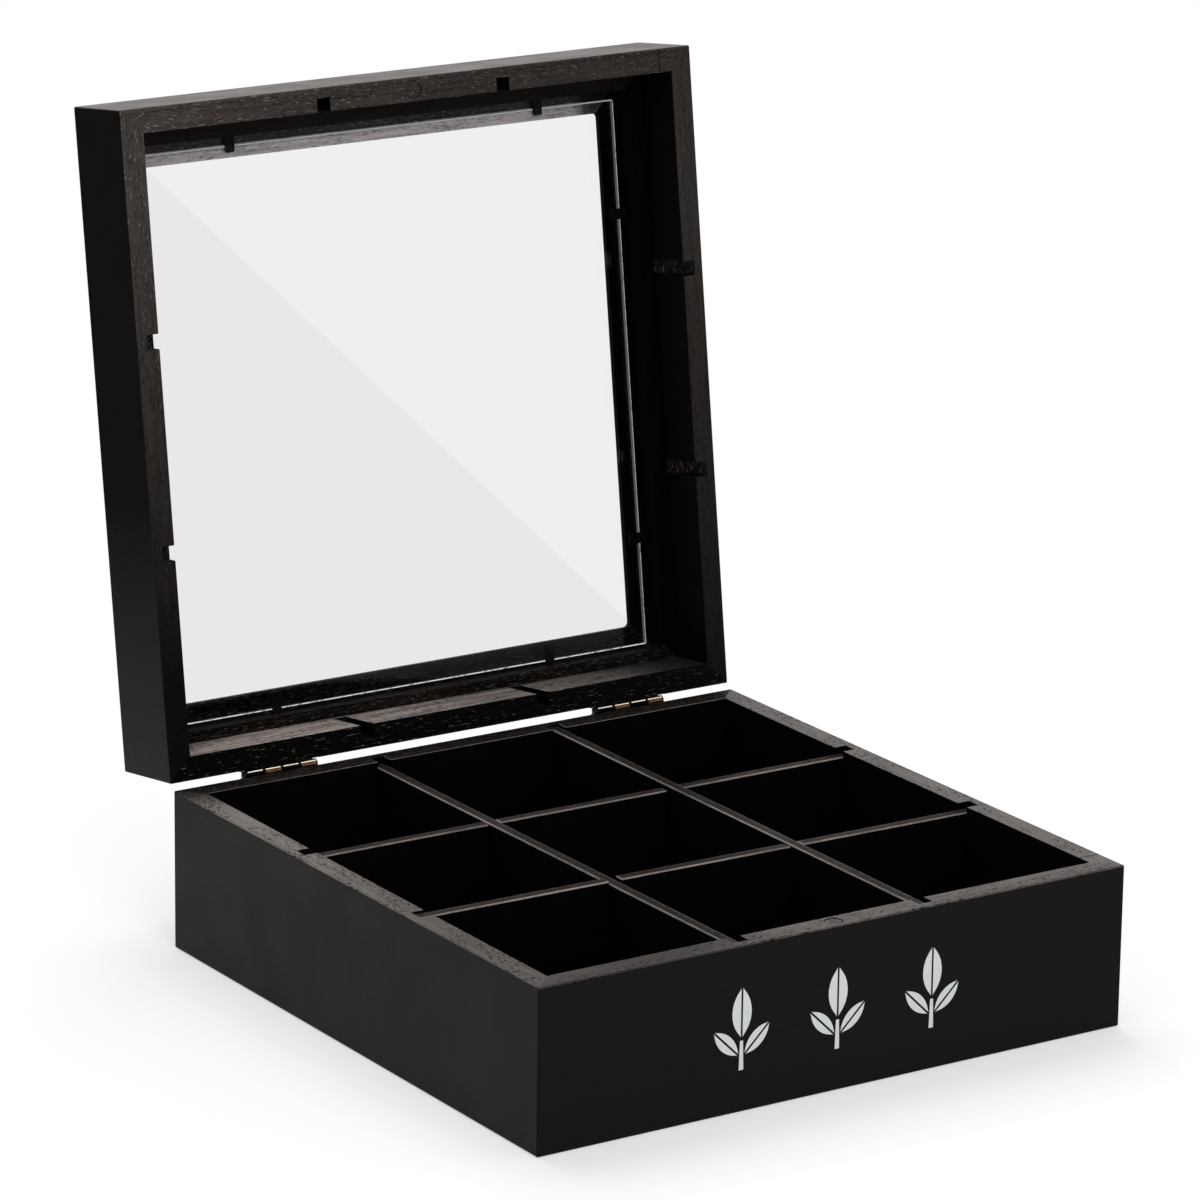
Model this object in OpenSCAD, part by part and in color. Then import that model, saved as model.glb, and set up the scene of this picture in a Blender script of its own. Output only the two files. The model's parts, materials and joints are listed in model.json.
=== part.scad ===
// Tea bag organiser box: square timber box with nine compartments and a hinged glazed lid.
// Millimetres, +Z up. The origin is the centre of the flat underside; the front faces -Y,
// the hinges are at the back on +Y. The lid is drawn open, standing against its hinge stops.

/* [Box] */
// overall width, left to right
box_w = 240; // [180:1:320]
// overall depth, front to back
box_d = 240; // [180:1:320]
// height of the base, underside to rim
base_h = 58.9; // [40:0.1:90]
// height of the lid, rim to top face
lid_h = 34.2; // [30:0.1:50]
// thickness of the wall boards
wall_t = 8.8; // [7:0.1:14]
// flat taken off the outer edges of the box
edge_ease = 0.5; // [0.2:0.1:1.5]

/* [Base] */
// thickness of the bottom panel
bottom_t = 4; // [3:0.5:6]
// thickness of the compartment dividers
divider_t = 4.1; // [3:0.1:7]
// how far the divider tops lie under the rim, on average
divider_drop = 1.8; // [1.4:0.1:6]
// side play of a divider end in its saw groove
groove_play = 1.3; // [0.3:0.1:2]
// side play where two dividers cross
lap_play = 1.2; // [0.4:0.1:2]
// depth of the saw grooves in the wall boards
groove_depth = 5; // [2:0.1:6]
// length of each groove's tail in the lid, from its rim inward
groove_tail = 20; // [12:1:21]

/* [Lid] */
// width of the frame rails, from the wall to the window
rail_w = 13.9; // [13:0.1:30]
// thickness of the frame rails, inner face to the top of the lid
rail_t = 13; // [8:0.1:16]
// radius of the window corners
window_r = 2; // [0.5:0.5:10]
// bevel round the window on the top of the lid
window_bevel = 1.7; // [0.5:0.1:1.9]
// how much nearer the hinges than the front the window lies
window_shift = 1.4; // [0:0.1:2]
// width of the window ledge that the glass lies on
ledge_w = 8.4; // [4:0.1:9.5]
// thickness of the window ledge in front of the glass
ledge_t = 3.9; // [3:0.1:5]
// thickness of the glass
glass_t = 2; // [1.5:0.1:2.5]
// space left round the glass in its rebate
glass_gap = 2.5; // [0.5:0.1:3]
// width of a glazing point
point_w = 4.1; // [3:0.1:8]
// thickness of a glazing point
point_t = 0.6; // [0.4:0.1:1.5]
// length a glazing point sticks out of the rebate wall
point_len = 7.5; // [5:0.1:10]
// distance from the middle of each side to its glazing points
point_x = 61.8; // [30:0.1:85]

/* [Closure] */
// diameter of the two latch magnets
magnet_d = 6; // [3:0.5:6]
// thickness of the latch magnets
magnet_t = 3; // [1.5:0.5:6]
// how deep the magnets lie under the rim faces
magnet_sink = 0.2; // [0.1:0.1:1]

/* [Hinges] */
// how far the lid is open from closed, where its stops meet
open_angle = 97.9; // [90:0.1:110]
// distance from the middle of the box to the middle of each hinge
hinge_x = 75; // [50:1:100]
// length of a hinge along its barrel
hinge_len = 29.3; // [20:0.1:50]
// height of each hinge leaf on the back face
leaf_h = 14; // [8:0.5:22]
// thickness of the hinge leaves
leaf_t = 0.95; // [0.6:0.05:1.5]
// diameter of the hinge barrel
barrel_d = 3.3; // [3:0.1:6]
// diameter of the hinge pin
pin_d = 1.7; // [1:0.1:2.5]
// space left between the rims when the lid is shut
rim_gap = 0.3; // [0.2:0.1:1]

/* [Hidden] */

fit = 0.3;                  // loose clearance in the timber joints
$fn = 64;

in_w = box_w - 2 * wall_t;  // inside the walls
in_d = box_d - 2 * wall_t;
window_w = in_w - 2 * rail_w;
window_d = in_d - 2 * rail_w;
rebate_w = window_w + 2 * ledge_w;
rebate_d = window_d + 2 * ledge_w;
glass_w = rebate_w - 2 * glass_gap;
glass_d = rebate_d - 2 * glass_gap;
glass_slip = glass_gap / 2;          // the pane has settled part of the way to the hinges
lid_z = base_h + rim_gap;   // lid rim when shut
lid_top = lid_z + lid_h;
axis_y = box_d / 2 + barrel_d / 2; // the leaves roll up flush with the back face
axis_z = base_h + rim_gap / 2;
cell_w = (in_w - 2 * divider_t) / 3;
cell_d = (in_d - 2 * divider_t) / 3;
div_x = (cell_w + divider_t) / 2;   // dividers stand at these distances from the middle
div_y = (cell_d + divider_t) / 2;
lap_z = (bottom_t + base_h - divider_drop) / 2; // where crossing dividers meet
groove_w = divider_t + groove_play;
divider_end = groove_depth - fit;   // how far a divider reaches into its grooves
panel_lap = divider_end - 0.35;     // the bottom panel's rebate; the dividers seat beyond it
rail_z = lid_top - rail_t;
ledge_z = lid_top - ledge_t;
glass_z = ledge_z - glass_t;
saw_r = (groove_tail * groove_tail + groove_depth * groove_depth) / (2 * groove_depth);
seam_w = 0.35;              // hairline between glued boards, seen on the rims
seam_deep = 0.45;
seam_base = 14;             // from the front face, on the right wall
seam_lid = 14.2;            // from the right face, on the lid's front wall
knuckles = 4;
knuckle_gap = 0.3;
knuckle_len = (hinge_len - (knuckles - 1) * knuckle_gap) / knuckles;
bore_d = pin_d + 0.14;      // running fit round the pin
screw_d = 1.6;
screw_head_d = 3.4;
screw_len = 7;
screw_x = hinge_len * 0.3;
screw_z = leaf_h * 0.62;
stop_r = barrel_d / 2 + 4;  // reach of the stop fins from the hinge axis
relief_r = barrel_d / 2 + fit; // hollow in the rim edges beside each barrel

black = [0.11, 0.105, 0.1];
pore = [0.3, 0.27, 0.25];
brass = [0.72, 0.53, 0.26];
steel = [0.2, 0.2, 0.2];

// ---------- helpers ----------

module flat_rect(a, b, c) {
    polygon([[-a/2 + c, -b/2], [a/2 - c, -b/2], [a/2, -b/2 + c], [a/2, b/2 - c],
             [a/2 - c, b/2], [-a/2 + c, b/2], [-a/2, b/2 - c], [-a/2, -b/2 + c]]);
}

// the whole outside of the box as one block from z0 to z1, its edges eased
module eased_block(z0, z1) {
    h = z1 - z0;
    intersection() {
        translate([0, 0, z0]) linear_extrude(h) flat_rect(box_w, box_d, edge_ease);
        translate([0, box_d/2, z0 + h/2]) rotate([90, 0, 0])
            linear_extrude(box_d) flat_rect(box_w, h, edge_ease);
        translate([-box_w/2, 0, z0 + h/2]) rotate([90, 0, 90])
            linear_extrude(box_w) flat_rect(box_d, h, edge_ease);
    }
}

// one mitred board of a square ring: side 0 front, 1 right, 2 back, 3 left
module mitred(side, w, d, t, z0, z1) {
    a = side % 2 == 0 ? w : d;
    b = side % 2 == 0 ? d : w;
    translate([0, 0, z0]) rotate([0, 0, side * 90]) linear_extrude(z1 - z0)
        polygon([[-a/2, -b/2], [a/2, -b/2], [a/2 - t, -b/2 + t], [-a/2 + t, -b/2 + t]]);
}

module slab(x0, x1, y0, y1, z0, z1) {
    translate([x0, y0, z0]) cube([x1 - x0, y1 - y0, z1 - z0]);
}

// grooves for the divider ends in the base walls
module base_grooves() {
    gx = in_w/2 + groove_depth;
    gy = in_d/2 + groove_depth;
    for (s = [-1, 1]) {
        slab(s*div_x - groove_w/2, s*div_x + groove_w/2, -gy, gy, bottom_t, base_h + 1);
        slab(-gx, gx, s*div_y - groove_w/2, s*div_y + groove_w/2, bottom_t, base_h + 1);
    }
}

// tails of the same saw cuts in the lid walls, running out along the blade's curve
module lid_grooves() {
    for (s = [-1, 1], e = [-1, 1]) {
        translate([s*div_x, e*(in_d/2 + groove_depth - saw_r), lid_z]) rotate([0, 90, 0])
            cylinder(r = saw_r, h = groove_w, center = true, $fn = 128);
        translate([e*(in_w/2 + groove_depth - saw_r), s*div_y, lid_z]) rotate([90, 0, 0])
            cylinder(r = saw_r, h = groove_w, center = true, $fn = 128);
    }
}

// everything of the lid is drawn shut and swung open with this
module opened() {
    translate([0, axis_y, axis_z]) rotate([-open_angle, 0, 0])
        translate([0, -axis_y, -axis_z]) children();
}

// ---------- base ----------

module base_wall(side) {
    color(black) difference() {
        intersection() {
            mitred(side, box_w, box_d, wall_t, 0, base_h);
            eased_block(0, base_h);
        }
        slab(-in_w/2 - panel_lap, in_w/2 + panel_lap, -in_d/2 - panel_lap, in_d/2 + panel_lap,
             -1, bottom_t);
        base_grooves();
        if (side == 0) magnet_pocket(base_h, -1);
        if (side == 1) slab(in_w/2 - 1, box_w/2 + 1, -box_d/2 + seam_base,
                            -box_d/2 + seam_base + seam_w, base_h - seam_deep, base_h + 1);
        if (side == 2) {
            screw_holes(-1);
            hinge_relief();
        }
    }
}

module base_front_wall() base_wall(0);
module base_right_wall() base_wall(1);
module base_back_wall() base_wall(2);
module base_left_wall() base_wall(3);

module bottom_panel() {
    c = panel_lap - 0.15;
    color(pore) slab(-in_w/2 - c, in_w/2 + c, -in_d/2 - c, in_d/2 + c, 0, bottom_t);
}

// a divider seen from its side, from end to end; its top is drop0 and drop1 under the rim
module divider_face(l, drop0, drop1) {
    linear_extrude(divider_t, center = true)
        polygon([[-l, bottom_t], [l, bottom_t], [l, base_h - drop1], [-l, base_h - drop0]]);
}

// long dividers run front to back and are slotted from below; the cross ones from above
// each was planed by hand, so its two ends lie a little off the common height
module divider_long(s, off0, off1) {
    color(black) difference() {
        translate([s*div_x, 0, 0]) rotate([90, 0, 90])
            divider_face(in_d/2 + divider_end, divider_drop + off0, divider_drop + off1);
        for (k = [-1, 1])
            slab(s*div_x - divider_t, s*div_x + divider_t, k*div_y - divider_t/2 - fit,
                 k*div_y + divider_t/2 + fit, bottom_t - 1, lap_z + fit/2);
    }
}

// tight: the side on which the slots bear against the long dividers
module divider_cross(s, off0, off1, tight) {
    near = 0.1;
    color(black) difference() {
        translate([0, s*div_y, 0]) rotate([90, 0, 0])
            divider_face(in_w/2 + divider_end, divider_drop + off0, divider_drop + off1);
        for (k = [-1, 1])
            slab(k*div_x - divider_t/2 - (tight < 0 ? near : lap_play - near),
                 k*div_x + divider_t/2 + (tight < 0 ? lap_play - near : near),
                 s*div_y - divider_t, s*div_y + divider_t, lap_z - fit/2, base_h + 1);
    }
}

module divider_long_left() divider_long(-1, 0.2, 0.7);
module divider_long_right() divider_long(1, -0.4, -1.1);
module divider_cross_front() divider_cross(-1, -1.1, 0.5, -1);
module divider_cross_rear() divider_cross(1, 0.3, 0.6, 1);

// ---------- latch magnets, one let into the middle of each front rim ----------

module magnet_pocket(z, dir) {
    deep = magnet_t + magnet_sink;
    translate([0, -(box_d - wall_t)/2, dir < 0 ? z - deep : z - 1])
        cylinder(d = magnet_d + 0.4, h = deep + 1);
}

module base_magnet() {
    color(steel) translate([0, -(box_d - wall_t)/2, base_h - magnet_sink - magnet_t])
        cylinder(d = magnet_d, h = magnet_t);
}

module lid_magnet() {
    color(steel) opened() translate([0, -(box_d - wall_t)/2, lid_z + magnet_sink])
        cylinder(d = magnet_d, h = magnet_t);
}

// ---------- lid ----------

module lid_wall(side) {
    color(black) opened() difference() {
        intersection() {
            mitred(side, box_w, box_d, wall_t, lid_z, lid_top);
            eased_block(lid_z, lid_top);
        }
        lid_grooves();
        if (side == 0) {
            magnet_pocket(lid_z, 1);
            slab(box_w/2 - seam_lid, box_w/2 - seam_lid + seam_w, -box_d/2 - 1, -in_d/2 + 1,
                 lid_z - 1, lid_z + seam_deep);
        }
        if (side == 2) {
            screw_holes(1);
            hinge_relief();
        }
    }
}

module lid_front_wall() lid_wall(0);
module lid_right_wall() lid_wall(1);
module lid_back_wall() lid_wall(2);
module lid_left_wall() lid_wall(3);

// mitred rails inside the lid walls: a ledge round the window and a rebate for the glass
module lid_rail(side) {
    // inner edge of this rail, seen with the rail turned to the front
    edge = side == 0 ? -window_d/2 + window_shift : side == 2 ? -window_d/2 - window_shift
                     : -window_w/2;
    low = lid_top - window_bevel;
    color(black) opened() difference() {
        mitred(side, in_w, in_d, rail_w + window_shift + window_r, rail_z, lid_top);
        translate([0, window_shift, rail_z - 1]) linear_extrude(lid_h) offset(r = window_r)
            square([window_w - 2*window_r, window_d - 2*window_r], center = true);
        slab(-rebate_w/2, rebate_w/2, window_shift - rebate_d/2, window_shift + rebate_d/2,
             rail_z - 1, ledge_z);
        rotate([0, 0, side * 90]) translate([-box_w/2, 0, 0]) rotate([90, 0, 90])
            linear_extrude(box_w) polygon([[edge - window_bevel - 1, lid_top + 1], [edge, low],
                [edge + 2*window_r + 4, low], [edge + 2*window_r + 4, lid_top + 1]]);
    }
}

module lid_front_rail() lid_rail(0);
module lid_right_rail() lid_rail(1);
module lid_back_rail() lid_rail(2);
module lid_left_rail() lid_rail(3);

module glass_pane() {
    color([0.8, 0.9, 0.9, 0.4]) opened()
        slab(-glass_w/2, glass_w/2, window_shift + glass_slip - glass_d/2,
             window_shift + glass_slip + glass_d/2, glass_z, ledge_z);
}

// a flat steel point with clipped tip corners, lying on the glass; tip toward +Y
module glazing_point(l) {
    c = point_w * 0.16;
    linear_extrude(point_t) polygon([[-point_w/2, 0], [point_w/2, 0], [point_w/2, l - c],
        [point_w/2 - c, l], [-point_w/2 + c, l], [-point_w/2, l - c]]);
}

module glazing_points() {
    // driven by hand: each lies a little off its even place, the front ones deeper
    color(steel) opened() translate([0, window_shift, glass_z - point_t]) {
        for (x = [-point_x + 0.5, point_x + 7.8])
            translate([x, -rebate_d/2, 0]) glazing_point(point_len - 1.1);
        for (x = [-point_x + 3.2, point_x - 2.2])
            translate([x, rebate_d/2, 0]) rotate([0, 0, 180]) glazing_point(point_len + 0.4);
        for (y = [-point_x + 2.7, point_x + 1.9])
            translate([rebate_w/2, y, 0]) rotate([0, 0, 90]) glazing_point(point_len);
        for (y = [-point_x, point_x - 2])
            translate([-rebate_w/2, y, 0]) rotate([0, 0, -90]) glazing_point(point_len);
    }
}

// ---------- hinges: butt hinges on the back face with fins that stop the lid ----------

// one knuckle round the axis, x0 to x1
module knuckle(x0, x1) {
    translate([x0, axis_y, axis_z]) rotate([0, 90, 0]) cylinder(d = barrel_d, h = x1 - x0);
}

// hollow along the rim edge that keeps the boards clear of the barrels
module hinge_relief() {
    for (s = [-1, 1]) translate([s*hinge_x - hinge_len/2 - 2, axis_y, axis_z])
        rotate([0, 90, 0]) cylinder(r = relief_r, h = hinge_len + 4);
}

module bore(x0, x1) {
    translate([x0, axis_y, axis_z]) rotate([0, 90, 0]) cylinder(d = bore_d, h = x1 - x0);
}

// side: +1 hinge on the right, -1 left; up: -1 leaf of the base, +1 leaf of the shut lid;
// the base leaf owns the even knuckles, counted from the left end
module leaf(side, up) {
    x0 = side*hinge_x - hinge_len/2;
    x1 = x0 + hinge_len;
    pitch = knuckle_len + knuckle_gap;
    free = barrel_d/2 + fit;
    back = box_d / 2;
    half = open_angle / 2;
    bend = 0.4;                     // overlap of the sheet with its plate
    color(brass) difference() {
        union() {
            // plate on the back face, kept clear of the barrel
            slab(x0, x1, back, back + leaf_t, up < 0 ? axis_z - leaf_h : axis_z + free,
                 up < 0 ? axis_z - free : axis_z + leaf_h);
            // full-length stop fin, standing clear of the barrel
            translate([x0, axis_y, axis_z]) rotate([up*half, 0, 0])
                translate([0, free, up < 0 ? -leaf_t - fit/2 : fit/2])
                cube([hinge_len, stop_r - free, leaf_t]);
            for (i = [0 : knuckles - 1]) if ((up < 0) == (i % 2 == 1)) {
                k0 = x0 + i*pitch;
                k1 = k0 + knuckle_len;
                knuckle(k0, k1);
                // the sheet that rolls up into the knuckle
                slab(k0, k1, back, back + leaf_t, up < 0 ? axis_z - free - bend : axis_z,
                     up < 0 ? axis_z : axis_z + free + bend);
                // the fin's root, carried in to the barrel
                translate([k0, axis_y, axis_z]) rotate([up*half, 0, 0])
                    translate([0, bore_d/2, up < 0 ? -leaf_t - fit/2 : fit/2])
                    cube([knuckle_len, stop_r - bore_d/2, leaf_t]);
            }
        }
        bore(x0 - 1, x1 + 1);
        leaf_holes(side, up);
    }
}

module base_leaf_left() leaf(-1, -1);
module base_leaf_right() leaf(1, -1);
module lid_leaf_left() opened() leaf(-1, 1);
module lid_leaf_right() opened() leaf(1, 1);

// pin with a domed head on its left end
module hinge_pin(side) {
    x0 = side*hinge_x - hinge_len/2;
    color(brass) translate([x0, axis_y, axis_z]) rotate([0, 90, 0]) {
        translate([0, 0, -0.1]) cylinder(d = pin_d, h = hinge_len + 0.3);
        translate([0, 0, -0.9]) cylinder(d = barrel_d - 0.4, h = 0.8);
        translate([0, 0, -1.3]) cylinder(d1 = barrel_d - 1.8, d2 = barrel_d - 0.4, h = 0.4);
    }
}

module hinge_pin_left() hinge_pin(-1);
module hinge_pin_right() hinge_pin(1);

// places of the four screws of one body's leaves on the back face
module at_screws(up) {
    for (h = [-1, 1], s = [-1, 1])
        translate([h*hinge_x + s*screw_x, box_d/2, axis_z + up*screw_z]) rotate([-90, 0, 0])
            children();
}

module screw_holes(up) {
    at_screws(up) translate([0, 0, -screw_len - 0.1]) cylinder(d = screw_d + 0.1, h = screw_len + 1);
}

module leaf_holes(side, up) {
    for (s = [-1, 1])
        translate([side*hinge_x + s*screw_x, box_d/2, axis_z + up*screw_z]) rotate([-90, 0, 0])
            translate([0, 0, -1]) cylinder(d = screw_d + 0.3, h = leaf_t + 2);
}

// small round-head screws, the shank in the board and the head on the leaf
module screws(up) {
    color(brass) at_screws(up) difference() {
        union() {
            translate([0, 0, -screw_len]) cylinder(d = screw_d, h = screw_len + leaf_t + 0.2);
            translate([0, 0, leaf_t]) cylinder(d = screw_head_d, h = 0.5);
            translate([0, 0, leaf_t + 0.5]) cylinder(d1 = screw_head_d, d2 = screw_head_d*0.55,
                                                     h = 0.6);
        }
        translate([-screw_head_d, -0.25, leaf_t + 0.6]) cube([2*screw_head_d, 0.5, 1]);
    }
}

module base_hinge_screws() screws(-1);
module lid_hinge_screws() opened() screws(1);

// ---------- one line per node ----------

base_front_wall();
base_back_wall();
base_left_wall();
base_right_wall();
bottom_panel();
divider_long_left();
divider_long_right();
divider_cross_front();
divider_cross_rear();
base_magnet();
base_leaf_left();
base_leaf_right();
hinge_pin_left();
hinge_pin_right();
base_hinge_screws();
lid_front_wall();
lid_back_wall();
lid_left_wall();
lid_right_wall();
lid_front_rail();
lid_back_rail();
lid_left_rail();
lid_right_rail();
glass_pane();
glazing_points();
lid_magnet();
lid_leaf_left();
lid_leaf_right();
lid_hinge_screws();
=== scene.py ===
import json
import math

import bmesh
import bpy
from bpy.props import FloatProperty, FloatVectorProperty, PointerProperty
from mathutils import Matrix, Vector


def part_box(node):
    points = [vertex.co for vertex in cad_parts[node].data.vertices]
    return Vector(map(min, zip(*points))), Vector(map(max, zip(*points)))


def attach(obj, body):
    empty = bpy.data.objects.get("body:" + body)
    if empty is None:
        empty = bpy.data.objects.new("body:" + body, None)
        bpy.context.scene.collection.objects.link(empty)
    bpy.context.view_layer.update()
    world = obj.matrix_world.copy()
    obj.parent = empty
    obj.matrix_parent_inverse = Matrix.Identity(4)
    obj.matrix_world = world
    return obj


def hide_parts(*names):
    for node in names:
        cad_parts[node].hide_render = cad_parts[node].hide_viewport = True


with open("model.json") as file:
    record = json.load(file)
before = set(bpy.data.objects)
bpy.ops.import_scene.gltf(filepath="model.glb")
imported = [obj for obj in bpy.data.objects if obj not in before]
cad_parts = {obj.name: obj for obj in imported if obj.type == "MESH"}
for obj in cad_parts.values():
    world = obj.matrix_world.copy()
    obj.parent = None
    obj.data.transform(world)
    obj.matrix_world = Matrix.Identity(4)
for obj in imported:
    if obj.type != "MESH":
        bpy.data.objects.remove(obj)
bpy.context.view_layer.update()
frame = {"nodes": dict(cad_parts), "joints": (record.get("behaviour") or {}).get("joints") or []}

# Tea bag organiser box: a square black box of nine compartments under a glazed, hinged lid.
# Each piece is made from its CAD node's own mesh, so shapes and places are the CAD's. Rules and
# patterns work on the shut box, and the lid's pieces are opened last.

bl_info = {
    "name": "Tea Bag Organiser Box",
    "version": (1, 0, 0),
    "blender": (4, 5, 0),
    "location": "3D View > Sidebar > Tea Box",
    "description": "Builds the finish of a nine-compartment tea bag box with a glazed lid",
    "category": "Object",
}

MM = 0.001
WHITE = (1.0, 1.0, 1.0)


def corners(points):
    """The lowest and the highest corner of the box round these points."""
    return [Vector([pick(p[i] for p in points) for i in range(3)]) for pick in (min, max)]


# The hinge, and the turn that takes a point of the open lid to its place on the shut box
HINGE = frame["joints"][0]
AXIS = Vector(HINGE["pos_m"])
OPEN_ANGLE = math.radians(HINGE["range_deg"][1])
TO_SHUT = (Matrix.Translation(AXIS) @ Matrix.Rotation(OPEN_ANGLE, 4, "X")
           @ Matrix.Translation(-AXIS))
TO_OPEN = TO_SHUT.inverted()

# The boards and the pane. Each side's grain runs along its own axis.
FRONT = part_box("base_front_wall")
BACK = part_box("base_back_wall")
FRONT_Y = FRONT[0].y
BACK_Y = BACK[1].y
HALF_W = FRONT[1].x
RIM_Z = FRONT[1].z
WALL_T = FRONT[1].y - FRONT[0].y
PANE = corners([TO_SHUT @ v.co for v in frame["nodes"]["glass_pane"].data.vertices])
RUNS = {"front": "x", "right": "y", "back": "x", "left": "y"}

# The hinges: their leaves' thickness, and the knuckles along and round the pin
LEAF_T = 0.95 * MM
HINGE_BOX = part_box("base_leaf_right")
KNUCKLES = 4
KNUCKLE_GAP = 0.3 * MM
KNUCKLE_X = HINGE_BOX[0].x - KNUCKLE_GAP / 2
KNUCKLE_PITCH = (HINGE_BOX[1].x - HINGE_BOX[0].x + KNUCKLE_GAP) / KNUCKLES
KNUCKLE_REACH = AXIS.y - BACK_Y + 0.3 * MM


def linear(code):
    """An sRGB hex code as a linear colour."""
    parts = [int(code[i : i + 2], 16) / 255 for i in (0, 2, 4)]
    return tuple(c / 12.92 if c <= 0.04045 else ((c + 0.055) / 1.055) ** 2.4 for c in parts)


def colour(name, code, description):
    """A colour that a user may change."""
    return FloatVectorProperty(
        name=name, description=description, subtype="COLOR", size=3, min=0, max=1,
        default=linear(code),
    )


def length(name, mm, description):
    """A length that a user may change, from its default in mm."""
    return FloatProperty(
        name=name, description=description, subtype="DISTANCE", unit="LENGTH", min=0,
        precision=5, default=mm * MM,
    )


class TeaBoxFinish(bpy.types.PropertyGroup):
    """Colours of the box's finishes"""

    paint: colour("Paint", "0f0e0d", "Matt black paint on the outside")
    lid_paint: colour("Lid paint", "403d3b", "Thinner, greyer paint on the left side of the lid")
    inside_paint: colour("Inside paint", "060505", "Dry black paint in the cells and the lid")
    rim: colour("Base rim", "544c48", "Thin paint on the sawn rims of the base")
    # Painted reflection: the paler tone of the left rim of the base
    rim_painted_reflection: colour("Worn rim", "8e8580", "Paint worn thin on the left rim of the base")
    # Painted shade: the dark tone of the back rim, under the open lid
    back_rim: colour("Back rim", "14110f", "Thick paint on the rim between the hinges")
    divider_rim: colour("Divider top", "1f1b19", "Thin paint on the sawn tops of the dividers")
    lid_rim: colour("Lid rim", "4a4340", "Thin paint on the sawn rim of the lid")
    rail: colour("Rail", "13100e", "Thin paint on the planed rails round the pane")
    # The paler tone of the raised marks and of rounded edges is partly rubbed paint and partly a
    # painted highlight
    rubbed_and_highlight: colour("Rubbed paint", "8d827c", "Raised grain where the paint is rubbed off")
    # The pale tone beside the hinges is partly bare wood and partly painted light, for the light
    # that falls through the pane
    bare: colour("Bare wood", "b5a8a1", "Pale wood showing inside the lid beside the hinges")
    # Painted reflection: the pale ledge tone, under the pane and on the groove floors of the
    # lid's left wall
    ledge: colour("Ledge", "dcd6d6", "Bare grey wood of the ledge under the pane")
    bloom: colour("Bloom", "c08a7c", "Warm haze that the lid's paint shows at a glancing angle")
    pore: colour("Pores", "050404", "Open pores of the timber under the paint")
    stencil: colour("Stencil", "f3f6f9", "White stencilled ornament on the front")
    brass: colour("Brass", "86603f", "Darkened brass of the hinges")
    # Painted highlight: the bright line along the top of the knuckles
    brass_painted_highlight: colour("Worn brass", "fff4e4", "Brass polished by wear along the knuckles")
    # Painted shade: black round the knuckles and in the gaps between them
    brass_painted_shade: colour("Tarnish", "0d0a08", "Black tarnish round the knuckles")
    pin: colour("Pin", "2a2624", "Steel of the hinge pins")
    point: colour("Glazing point", "0b0b0b", "Blued steel of the glazing points")
    # Painted reflection: glass and glass_sheen are the two tones of the pane's halves on either
    # side of its diagonal; glass is the lighter half
    glass: colour("Glass", "efefef", "Clear window glass")
    glass_sheen: colour("Glass sheen", "e8e8e8", "The pane's other half, a shade deeper")
    glass_edge: colour("Glass edge", "f2f5f3", "Ground edge of the pane")
    glass_chip: colour("Glass chips", "4a4c4b", "Clear chips in the ground edge, and its shade")
    floor: colour("Floor", "e8e8e6", "Studio floor")


class TeaBoxSizes(bpy.types.PropertyGroup):
    """Sizes of the details that the finish adds"""

    board_edge: length("Board edge", 0.35, "Width of the softened edges of the boards")
    divider_edge: length("Divider edge", 0.45, "Width of the rounded top edges of the dividers")
    glass_edge: length("Glass edge", 0.5, "Width of the ground edge of the pane")
    metal_edge: length("Metal edge", 0.12, "Width of the softened edges of the metal parts")
    stencil_depth: length("Stencil depth", 0.04, "Depth of the stencilled faces")
    ornament_h: length("Ornament height", 29, "Height of one stencilled sprig")
    ornament_pitch: length("Ornament spacing", 39.1, "Distance between stencilled sprigs")


# ---------- materials ----------


def add(tree, kind, inputs=None, **settings):
    """A node with its settings. An input takes a value, a node (its first output) or a node
    with the name or number of its output."""
    node = tree.nodes.new(kind)
    for name, value in settings.items():
        setattr(node, name, value)
    for name, value in (inputs or {}).items():
        socket = node.inputs[name]
        if isinstance(value, bpy.types.Node):
            value = (value, 0)
        if isinstance(value, tuple) and isinstance(value[0], bpy.types.Node):
            tree.links.new(value[0].outputs[value[1]], socket)
        else:
            socket.default_value = (*value, 1) if socket.type == "RGBA" else value
    return node


def new_material(name):
    """A material and its node tree, which is empty."""
    material = bpy.data.materials.new(name)
    material.use_nodes = True
    material.node_tree.nodes.clear()
    return material, material.node_tree


def own_place(tree, opened):
    """A point's place on the shut box, in metres."""
    place = add(tree, "ShaderNodeTexCoord")
    shift = AXIS - TO_SHUT.to_3x3() @ AXIS if opened else Vector()
    return add(tree, "ShaderNodeMapping", {
        "Vector": (place, "Object"), "Rotation": (OPEN_ANGLE if opened else 0, 0, 0),
        "Location": shift})


def grain(tree, place, size_mm, low, high, to=(0.0, 1.0), detail=2.0, shift=0.0):
    """A pattern whose marks are about size_mm long on each axis, and whose value rises between
    two levels of the noise. shift keeps two patterns apart."""
    scaled = add(tree, "ShaderNodeMapping", {
        "Vector": place, "Scale": [1 / (size * MM) for size in size_mm],
        "Location": (shift, shift * 0.7, shift * 1.3)})
    marks = add(tree, "ShaderNodeTexNoise", {
        "Vector": scaled, "Scale": 1.0, "Detail": detail, "Roughness": 0.58})
    return add(tree, "ShaderNodeMapRange", {
        "Value": marks, "From Min": low, "From Max": high, "To Min": to[0], "To Max": to[1],
    }, interpolation_type="SMOOTHSTEP", clamp=True)


# Marks of the timber in mm, along and across its grain. Real pores and raised marks are about
# 0.2 mm across, and both are drawn coarser so that they show.
PORE_MM = (2.6, 0.55)
PORE_PATCH_MM = (24, 6)
DASH_ACROSS_MM = 0.45
STREAK_MM = (46, 1.0)
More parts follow.
